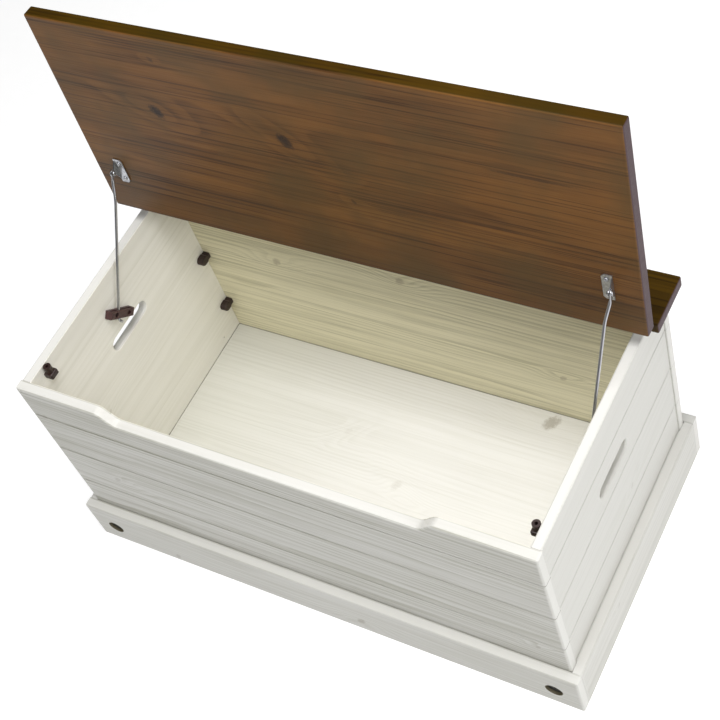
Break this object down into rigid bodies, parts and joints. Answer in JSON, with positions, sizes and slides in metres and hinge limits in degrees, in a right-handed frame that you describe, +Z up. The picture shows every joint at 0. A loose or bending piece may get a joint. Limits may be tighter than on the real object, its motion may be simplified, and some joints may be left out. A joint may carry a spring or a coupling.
{
  "type": "storage bench",
  "caption": "Low panelled storage chest that doubles as a seat, with a lid hinged at the back on a fixed top strip, rod lid stays, hand slots and a plinth.",
  "frame": {"origin": "middle of the footprint of the bench with its lid open, on the floor", "axes": "+X along the bench to its right end seen from the front, +Y to the back where the lid is hinged, +Z up"},
  "size_m": [0.899, 0.4826, 0.8402],
  "materials": {
    "white_wood": "satin white paint",
    "brown_wood": "dark brown stain, satin",
    "zinc_steel": "bright zinc",
    "brown_plastic": "matt",
    "dark_steel": "dark"
  },
  "bodies": {
    "box": {"front_panel": "white_wood", "back_panel": "white_wood", "left_side_panel": "white_wood", "right_side_panel": "white_wood", "bottom_panel": "white_wood", "left_floor_batten": "white_wood", "right_floor_batten": "white_wood", "plinth_front": "white_wood", "plinth_back": "white_wood", "plinth_left": "white_wood", "plinth_right": "white_wood", "rear_top_strip": "brown_wood", "left_hinge_fixed_leaf": "zinc_steel", "left_hinge_pin": "zinc_steel", "left_guide_screw_1": "zinc_steel", "left_guide_screw_2": "zinc_steel", "strip_screw_left": "zinc_steel", "left_stay_guide": "brown_plastic", "plinth_bolt_left": "dark_steel", "top_fixing_front_left": "brown_plastic", "corner_connector_front_left_lower": "brown_plastic", "corner_bolt_front_left_lower": "dark_steel", "corner_connector_front_left_upper": "brown_plastic", "corner_bolt_front_left_upper": "dark_steel", "top_fixing_back_left": "brown_plastic", "corner_connector_back_left_lower": "brown_plastic", "corner_bolt_back_left_lower": "dark_steel", "corner_connector_back_left_upper": "brown_plastic", "corner_bolt_back_left_upper": "dark_steel", "right_hinge_fixed_leaf": "zinc_steel", "right_hinge_pin": "zinc_steel", "right_guide_screw_1": "zinc_steel", "right_guide_screw_2": "zinc_steel", "strip_screw_right": "zinc_steel", "right_stay_guide": "brown_plastic", "plinth_bolt_right": "dark_steel", "top_fixing_front_right": "brown_plastic", "corner_connector_front_right_lower": "brown_plastic", "corner_bolt_front_right_lower": "dark_steel", "corner_connector_front_right_upper": "brown_plastic", "corner_bolt_front_right_upper": "dark_steel", "top_fixing_back_right": "brown_plastic", "corner_connector_back_right_lower": "brown_plastic", "corner_bolt_back_right_lower": "dark_steel", "corner_connector_back_right_upper": "brown_plastic", "corner_bolt_back_right_upper": "dark_steel"},
    "lid": {"lid_panel": "brown_wood", "left_hinge_lid_leaf": "zinc_steel", "left_lid_bracket": "zinc_steel", "left_stay_rivet": "zinc_steel", "left_bracket_screw_1": "zinc_steel", "left_bracket_screw_2": "zinc_steel", "right_hinge_lid_leaf": "zinc_steel", "right_lid_bracket": "zinc_steel", "right_stay_rivet": "zinc_steel", "right_bracket_screw_1": "zinc_steel", "right_bracket_screw_2": "zinc_steel"},
    "left_rod": {"left_stay_rod": "zinc_steel"},
    "right_rod": {"right_stay_rod": "zinc_steel"}
  },
  "joints": [
    {"name": "lid_hinge", "type": "hinge", "parent": "box", "child": "lid", "pos_m": [0, 0.1486, 0.4478], "axis": [1, 0, 0], "range_deg": [0, 92.3]},
    {"name": "left_rod_pivot", "type": "hinge", "parent": "lid", "child": "left_rod", "pos_m": [-0.4103, 0.11383, 0.54648], "axis": [1, 0, 0], "range_deg": [-89.1, 0]},
    {"name": "right_rod_pivot", "type": "hinge", "parent": "lid", "child": "right_rod", "pos_m": [0.4103, 0.11383, 0.54648], "axis": [1, 0, 0], "range_deg": [-89.1, 0]}
  ],
  "couplings": [
    {"joint": "left_rod_pivot", "follows": "lid_hinge", "ratio": -0.96},
    {"joint": "right_rod_pivot", "follows": "lid_hinge", "ratio": -0.96}
  ]
}
